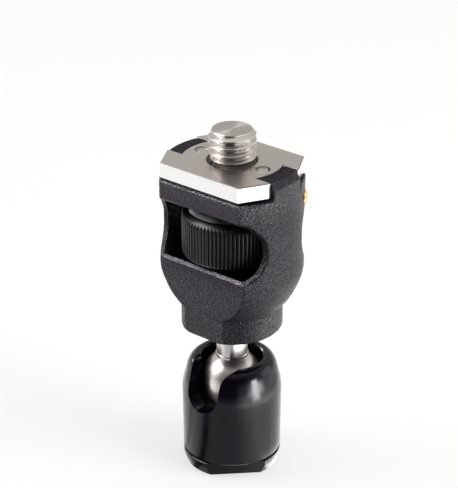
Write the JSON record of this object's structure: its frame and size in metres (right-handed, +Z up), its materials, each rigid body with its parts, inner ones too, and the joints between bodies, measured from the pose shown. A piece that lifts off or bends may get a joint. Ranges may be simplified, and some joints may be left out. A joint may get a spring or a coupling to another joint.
{
  "type": "ball head accessory mount",
  "caption": "Keyed steel plate with a thumbwheel-driven mounting screw and retractable locating pins, in a cast head on a ball stud that tilts into a slotted socket.",
  "frame": {"origin": "centre of the flat bottom face of the base collar, on the axis shared by socket, ball stud and mounting screw at rest", "axes": "+Z up along the mounting screw, towards its threaded end; +X along the long direction of the plate, through both locating pins, to the side with the release button; the socket's drop slot opens towards -Y"},
  "size_m": [0.0288, 0.0206, 0.0737],
  "materials": {
    "plate_steel": "brushed stainless, warm grey",
    "cast_coat": "fine crinkle powder coat, matte black, on a zinc casting",
    "black_steel": "black oxide, satin",
    "screw_steel": "turned stainless, polished flanks",
    "black_anodised": "black anodised, satin gloss",
    "washer_steel": "dark ground steel, satin",
    "acetal": "black acetal, satin",
    "bronze": "sintered bronze, matte",
    "pin_steel": "ground stainless",
    "spring_steel": "drawn wire, satin",
    "brass": "turned brass, satin",
    "stud_steel": "turned stainless, satin"
  },
  "bodies": {
    "socket": {"socket_housing": "black_anodised", "ball_cup": "acetal", "disc_spring": "spring_steel", "base_collar": "black_anodised"},
    "stud": {"ball_stud": "stud_steel"},
    "head": {"head_body": "cast_coat", "top_plate": "plate_steel", "plate_screws": "black_steel", "spindle_bushing": "bronze", "stud_bushing": "bronze", "stud_grub_screw": "black_steel", "thrust_washer_upper": "washer_steel", "thrust_washer_lower": "acetal", "pin_spring_left": "spring_steel", "pin_spring_right": "spring_steel", "button_spring": "spring_steel"},
    "spindle": {"mount_screw": "screw_steel", "thumbwheel": "black_anodised", "wheel_set_screws": "black_steel"},
    "pin_left": {"locating_pin_left": "pin_steel"},
    "pin_right": {"locating_pin_right": "pin_steel"},
    "button": {"release_button": "brass"}
  },
  "joints": [
    {"name": "ball_tilt", "type": "hinge", "parent": "socket", "child": "stud", "pos_m": [0, 0, 0.01825], "axis": [1, 0, 0], "range_deg": [-20, 90]},
    {"name": "head_swivel", "type": "hinge", "parent": "stud", "child": "head", "pos_m": [0, 0, 0.01825], "axis": [0, 0, 1], "continuous": true},
    {"name": "screw_spin", "type": "hinge", "parent": "head", "child": "spindle", "pos_m": [0, 0, 0.0522], "axis": [0, 0, 1], "continuous": true},
    {"name": "pin_left_rise", "type": "slide", "parent": "head", "child": "pin_left", "axis": [0, 0, 1], "range_m": [0, 0.0022], "deforming": ["pin_spring_left"]},
    {"name": "pin_right_rise", "type": "slide", "parent": "head", "child": "pin_right", "axis": [0, 0, 1], "range_m": [0, 0.0022], "deforming": ["pin_spring_right"]},
    {"name": "button_press", "type": "slide", "parent": "head", "child": "button", "axis": [-0.848, -0.5299, 0], "range_m": [0, 0.0005], "deforming": ["button_spring"]}
  ]
}
